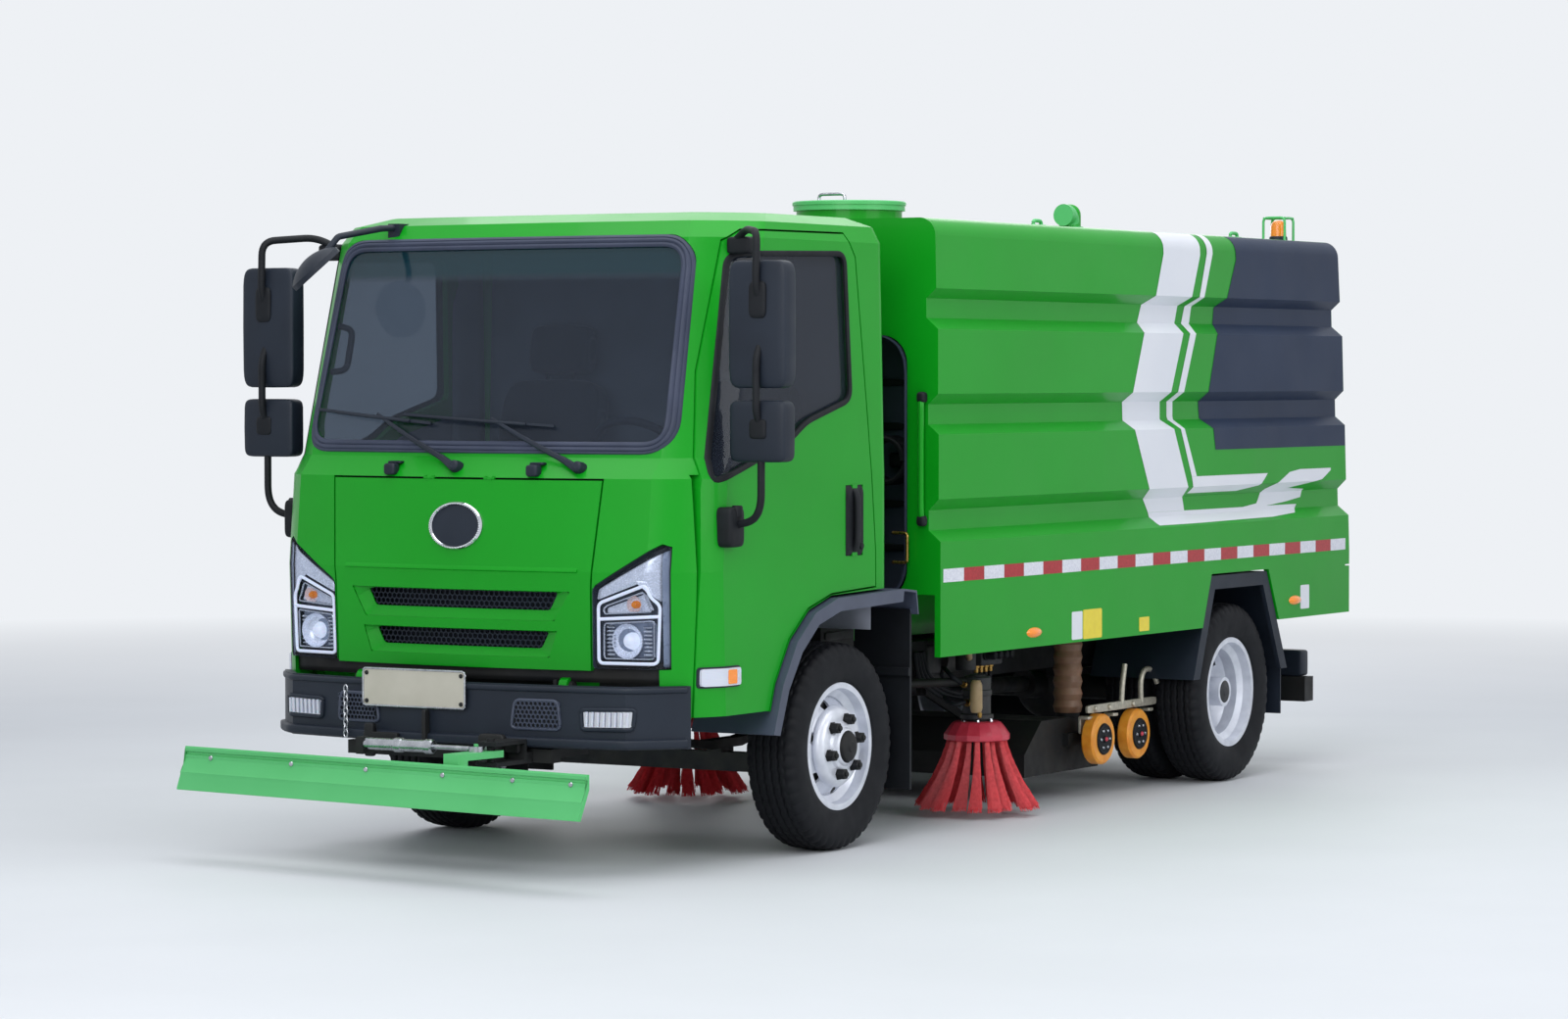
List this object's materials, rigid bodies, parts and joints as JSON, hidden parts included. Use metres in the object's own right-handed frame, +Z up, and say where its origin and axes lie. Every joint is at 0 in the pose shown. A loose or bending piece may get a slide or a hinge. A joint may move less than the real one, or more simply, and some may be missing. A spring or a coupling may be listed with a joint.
{
  "type": "street sweeper truck",
  "caption": "Compact battery-electric street sweeper truck: tilting cab, ribbed tipping hopper, side brushes, suction nozzle and a front deflector bar.",
  "frame": {"origin": "on the ground at the middle of the vehicle's length and width", "axes": "+Z up, -Y towards the front of the vehicle, +X towards its left side"},
  "size_m": [2.34, 6.2072, 2.45],
  "materials": {
    "body_green": "gloss green paint",
    "bar_green": "light green paint",
    "frame_black": "satin black chassis paint",
    "dark_plastic": "grained dark grey plastic",
    "black_rubber": "matt rubber",
    "tyre_rubber": "matt tyre rubber",
    "wheel_silver": "silver wheel paint",
    "clear_glass": "tinted glass",
    "lamp_glass": "clear lamp lens",
    "lamp_red": "red lamp lens",
    "lamp_amber": "amber lamp lens",
    "seat_fabric": "woven seat cloth",
    "brush_red": "red bristle plastic",
    "wheel_orange": "cast polyurethane",
    "hose_tan": "ribbed tan hose",
    "steel": "bare turned steel",
    "cast_grey": "cast and forged parts"
  },
  "bodies": {
    "chassis": {"chassis_rails": "frame_black", "cross_members": "frame_black", "front_axle": "cast_grey", "rear_axle": "cast_grey", "leaf_springs": "frame_black", "drive_motor": "cast_grey", "battery_pack": "frame_black", "front_fenders": "dark_plastic", "front_bumper": "dark_plastic", "bar_bracket": "frame_black", "bar_actuator": "steel", "frame_brackets": "frame_black", "rear_guards": "dark_plastic", "rear_bumper": "frame_black", "tail_lamps": "lamp_red"},
    "steer_left": {"knuckle_left": "cast_grey"},
    "steer_right": {"knuckle_right": "cast_grey"},
    "track_rod": {"tie_rod": "steel"},
    "wheel_front_left": {"front_tyre_left": "tyre_rubber", "front_rim_left": "wheel_silver"},
    "wheel_front_right": {"front_tyre_right": "tyre_rubber", "front_rim_right": "wheel_silver"},
    "wheels_rear_left": {"rear_tyres_left": "tyre_rubber", "rear_rims_left": "wheel_silver"},
    "wheels_rear_right": {"rear_tyres_right": "tyre_rubber", "rear_rims_right": "wheel_silver"},
    "cab": {"cab_shell": "body_green", "headlamps": "lamp_glass", "windscreen_seal": "black_rubber", "windscreen": "clear_glass", "seats": "seat_fabric", "dashboard": "dark_plastic", "front_mirror": "dark_plastic"},
    "front_flap": {"front_hood": "body_green", "grille": "dark_plastic"},
    "left_door": {"door_left": "body_green", "door_glass_left": "clear_glass", "mirror_left": "dark_plastic"},
    "right_door": {"door_right": "body_green", "door_glass_right": "clear_glass", "mirror_right": "dark_plastic"},
    "deflector": {"deflector_bar": "bar_green"},
    "actuator_rod": {"bar_rod": "steel"},
    "hopper": {"hopper_body": "body_green", "beacon": "lamp_amber"},
    "tailgate": {"rear_door": "body_green"},
    "hatch": {"roof_lid": "body_green"},
    "lift_barrel": {"cylinder_barrel": "frame_black"},
    "lift_rod": {"cylinder_rod": "steel"},
    "arm_left": {"brush_arm_left": "frame_black"},
    "arm_right": {"brush_arm_right": "frame_black"},
    "sweeper_left": {"brush_left": "brush_red"},
    "sweeper_right": {"brush_right": "brush_red"},
    "nozzle": {"suction_nozzle": "frame_black", "suction_hose": "hose_tan"},
    "caster_left_front": {"nozzle_wheel_left_front": "wheel_orange"},
    "caster_left_rear": {"nozzle_wheel_left_rear": "wheel_orange"},
    "caster_right_front": {"nozzle_wheel_right_front": "wheel_orange"},
    "caster_right_rear": {"nozzle_wheel_right_rear": "wheel_orange"}
  },
  "joints": [
    {"name": "steer_left", "type": "hinge", "parent": "chassis", "child": "steer_left", "pos_m": [0.64, -1.354, 0.3835], "axis": [0, 0, 1], "range_deg": [-33, 33]},
    {"name": "front_wheel_left", "type": "hinge", "parent": "steer_left", "child": "wheel_front_left", "pos_m": [0.8025, -1.354, 0.3835], "axis": [1, 0, 0], "continuous": true},
    {"name": "rear_wheels_left", "type": "hinge", "parent": "chassis", "child": "wheels_rear_left", "pos_m": [0.826, 1.946, 0.3835], "axis": [1, 0, 0], "continuous": true},
    {"name": "steer_right", "type": "hinge", "parent": "chassis", "child": "steer_right", "pos_m": [-0.64, -1.354, 0.3835], "axis": [0, 0, 1], "range_deg": [-33, 33]},
    {"name": "front_wheel_right", "type": "hinge", "parent": "steer_right", "child": "wheel_front_right", "pos_m": [-0.8025, -1.354, 0.3835], "axis": [1, 0, 0], "continuous": true},
    {"name": "rear_wheels_right", "type": "hinge", "parent": "chassis", "child": "wheels_rear_right", "pos_m": [-0.826, 1.946, 0.3835], "axis": [1, 0, 0], "continuous": true},
    {"name": "track_rod_slide", "type": "slide", "parent": "chassis", "child": "track_rod", "axis": [1, 0, 0], "range_m": [-0.12, 0.12]},
    {"name": "cab_tilt", "type": "hinge", "parent": "chassis", "child": "cab", "pos_m": [0, -2.484, 0.658], "axis": [1, 0, 0], "range_deg": [0, 45]},
    {"name": "front_flap_hinge", "type": "hinge", "parent": "cab", "child": "front_flap", "pos_m": [0, -2.514, 1.3826], "axis": [-1, 0, 0], "range_deg": [0, 65]},
    {"name": "door_left_hinge", "type": "hinge", "parent": "cab", "child": "left_door", "pos_m": [0.9, -2.304, 1.2], "axis": [0, 0, -1], "range_deg": [0, 70]},
    {"name": "door_right_hinge", "type": "hinge", "parent": "cab", "child": "right_door", "pos_m": [-0.9, -2.304, 1.2], "axis": [0, 0, 1], "range_deg": [0, 70]},
    {"name": "deflector_swing", "type": "hinge", "parent": "chassis", "child": "deflector", "pos_m": [0.317, -2.779, 0.43], "axis": [0, 0, 1], "range_deg": [-8, 22]},
    {"name": "deflector_actuator", "type": "slide", "parent": "chassis", "child": "actuator_rod", "axis": [1, 0, 0], "range_m": [-0.012, 0.032]},
    {"name": "hopper_tip", "type": "hinge", "parent": "chassis", "child": "hopper", "pos_m": [0, 2.896, 0.8], "axis": [-1, 0, 0], "range_deg": [0, 45]},
    {"name": "cylinder_swing", "type": "hinge", "parent": "chassis", "child": "lift_barrel", "pos_m": [0, 1.646, 0.6], "axis": [-1, 0, 0], "range_deg": [0, 67.5]},
    {"name": "cylinder_stroke", "type": "slide", "parent": "lift_barrel", "child": "lift_rod", "axis": [0, -0.9892, 0.1464], "range_m": [0, 0.774]},
    {"name": "rear_door_hinge", "type": "hinge", "parent": "hopper", "child": "tailgate", "pos_m": [0, 3.022, 2.278], "axis": [1, 0, 0], "range_deg": [0, 80]},
    {"name": "hatch_hinge", "type": "hinge", "parent": "hopper", "child": "hatch", "pos_m": [0, 0.488, 2.425], "axis": [-1, 0, 0], "range_deg": [0, 100]},
    {"name": "brush_arm_swing_left", "type": "hinge", "parent": "chassis", "child": "arm_left", "pos_m": [0.452, -0.304, 0.53], "axis": [0, 0, -1], "range_deg": [0, 25]},
    {"name": "brush_spin_left", "type": "hinge", "parent": "arm_left", "child": "sweeper_left", "pos_m": [0.68, 0.086, 0.33], "axis": [0, 0, 1], "continuous": true},
    {"name": "brush_arm_swing_right", "type": "hinge", "parent": "chassis", "child": "arm_right", "pos_m": [-0.452, -0.304, 0.53], "axis": [0, 0, 1], "range_deg": [0, 25]},
    {"name": "brush_spin_right", "type": "hinge", "parent": "arm_right", "child": "sweeper_right", "pos_m": [-0.68, 0.086, 0.33], "axis": [0, 0, 1], "continuous": true},
    {"name": "nozzle_lift", "type": "hinge", "parent": "chassis", "child": "nozzle", "pos_m": [0, 0.406, 0.47], "axis": [-1, 0, 0], "range_deg": [0, 7.5]},
    {"name": "caster_spin_left_front", "type": "hinge", "parent": "nozzle", "child": "caster_left_front", "pos_m": [0.752, 1.006, 0.24], "axis": [1, 0, 0], "continuous": true},
    {"name": "caster_spin_left_rear", "type": "hinge", "parent": "nozzle", "child": "caster_left_rear", "pos_m": [0.752, 1.336, 0.24], "axis": [1, 0, 0], "continuous": true},
    {"name": "caster_spin_right_front", "type": "hinge", "parent": "nozzle", "child": "caster_right_front", "pos_m": [-0.752, 1.006, 0.24], "axis": [1, 0, 0], "continuous": true},
    {"name": "caster_spin_right_rear", "type": "hinge", "parent": "nozzle", "child": "caster_right_rear", "pos_m": [-0.752, 1.336, 0.24], "axis": [1, 0, 0], "continuous": true}
  ],
  "couplings": [
    {"joint": "steer_right", "follows": "steer_left", "ratio": 1},
    {"joint": "track_rod_slide", "follows": "steer_left", "m_per_rad": -0.17},
    {"joint": "deflector_actuator", "follows": "deflector_swing", "m_per_rad": 0.0744},
    {"joint": "cylinder_swing", "follows": "hopper_tip", "ratio": 1.4772},
    {"joint": "cylinder_stroke", "follows": "hopper_tip", "m_per_rad": 0.9723}
  ]
}
